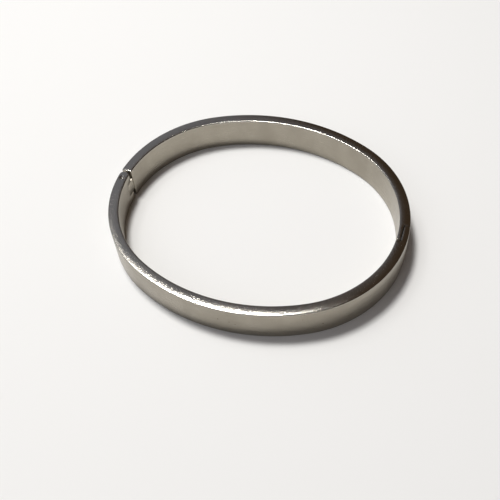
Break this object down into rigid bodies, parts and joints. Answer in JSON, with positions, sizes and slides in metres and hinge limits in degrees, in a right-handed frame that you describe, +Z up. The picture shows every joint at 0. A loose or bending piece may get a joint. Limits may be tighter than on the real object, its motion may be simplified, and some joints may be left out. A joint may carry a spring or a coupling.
{
  "type": "hinged bangle bracelet",
  "caption": "Plain oval steel bangle in hinged halves, with a pinned hinge at one end and a lapped snap clasp at the other, to wear round the wrist.",
  "frame": {"origin": "centre of the oval on the plane that the lower rim rests on", "axes": "+X along the oval's length to the clasp (hinge at -X), +Y to the rear half, +Z up across the band's height"},
  "size_m": [0.0624, 0.053, 0.0074],
  "materials": {
    "band_steel": "polished stainless steel, fine satin on the outer face",
    "pin_steel": "turned steel, ends dressed",
    "spring_steel": "rolled spring steel strip"
  },
  "bodies": {
    "rear_half": {"rear_band": "band_steel", "clasp_tongue": "spring_steel", "tongue_rivet_upper": "pin_steel", "tongue_rivet_lower": "pin_steel"},
    "front_half": {"front_band": "band_steel", "hinge_pin": "pin_steel"}
  },
  "joints": [
    {"name": "hinge", "type": "hinge", "parent": "rear_half", "child": "front_half", "pos_m": [-0.0301, -0.0011, 0.0037], "axis": [0, 0, -1], "range_deg": [0, 62]}
  ]
}
